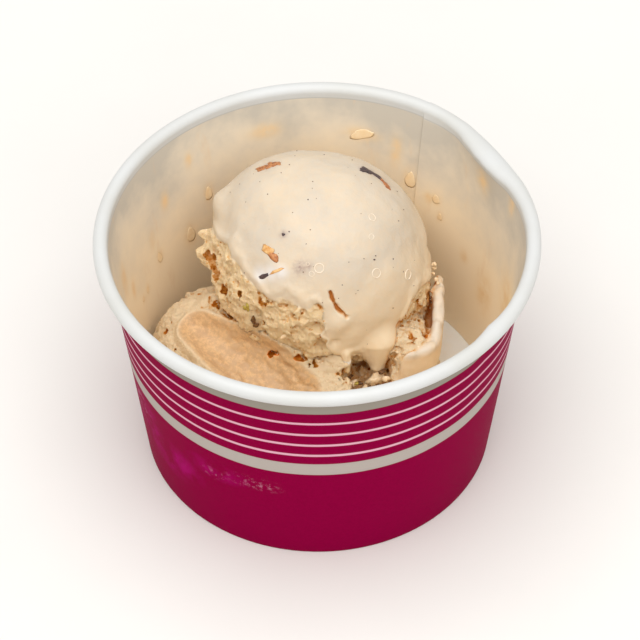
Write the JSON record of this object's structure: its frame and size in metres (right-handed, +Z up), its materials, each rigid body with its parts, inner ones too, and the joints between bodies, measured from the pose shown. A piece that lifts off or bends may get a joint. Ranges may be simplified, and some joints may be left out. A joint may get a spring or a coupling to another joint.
{
  "type": "gelato cup",
  "caption": "Squat paper cup with a rolled, dented rim and a printed band of stripes, holding two scoops of melting creamy gelato with dark flakes.",
  "frame": {"origin": "centre of the circle that the cup's foot stands on", "axes": "+Z up along the cup's axis; +X towards the side where the lower scoop curls up beside the upper one; +Y towards the side of the wall that the upper scoop leans to"},
  "size_m": [0.0959, 0.0965, 0.0606],
  "materials": {
    "printed_paper": "satin",
    "plain_paper": "satin",
    "scraped_gelato": "matte",
    "melted_gelato": "satin"
  },
  "bodies": {
    "root": {"cup_wall": "printed_paper", "cup_floor": "plain_paper", "scoop_lower": "scraped_gelato", "scoop_top": "melted_gelato"}
  },
  "joints": []
}
